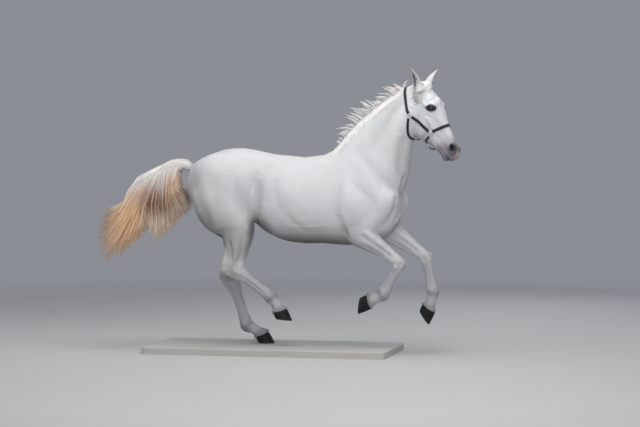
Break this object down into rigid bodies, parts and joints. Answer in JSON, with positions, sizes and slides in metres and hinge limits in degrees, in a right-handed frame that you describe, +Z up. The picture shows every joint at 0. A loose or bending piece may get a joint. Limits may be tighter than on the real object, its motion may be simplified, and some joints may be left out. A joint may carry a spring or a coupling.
{
  "type": "horse",
  "caption": "Grey horse at a right-lead canter, head up and turned slightly right, tail streaming, in a webbing headcollar, on a flat display base.",
  "frame": {"origin": "centre of the display base's flat underside", "axes": "+X the way the horse faces, +Y its left, +Z up"},
  "size_m": [2.7532, 0.8, 2.0611],
  "materials": {
    "coat": "short near-white grey hair over skin, matt with a slight sheen",
    "hair": "long cream-white hair, tail golden brown in the middle",
    "horn": "dark hoof horn, satin",
    "eye": "wet dark eye",
    "webbing": "dark navy woven webbing",
    "halter_metal": "pale plated metal",
    "base": "pale painted board, matt"
  },
  "bodies": {
    "root": {"head": "coat", "neck": "coat", "barrel": "coat", "hindquarters": "coat", "ear_left": "coat", "ear_right": "coat", "forearm_left": "coat", "forearm_right": "coat", "gaskin_left": "coat", "gaskin_right": "coat", "fore_cannon_left": "coat", "fore_cannon_right": "coat", "hind_cannon_left": "coat", "hind_cannon_right": "coat", "mane": "hair", "forelock": "hair", "tail": "hair", "fore_hoof_left": "horn", "fore_hoof_right": "horn", "hind_hoof_left": "horn", "hind_hoof_right": "horn", "eye_left": "eye", "eye_right": "eye", "halter_crown": "webbing", "halter_noseband": "webbing", "halter_throat": "webbing", "halter_cheek_left": "webbing", "halter_cheek_right": "webbing", "halter_chin_left": "webbing", "halter_chin_right": "webbing", "halter_ring_left": "halter_metal", "halter_ring_right": "halter_metal", "halter_fitting_left": "halter_metal", "halter_fitting_right": "halter_metal", "halter_jaw_ring": "halter_metal", "stand_base": "base"}
  },
  "joints": []
}
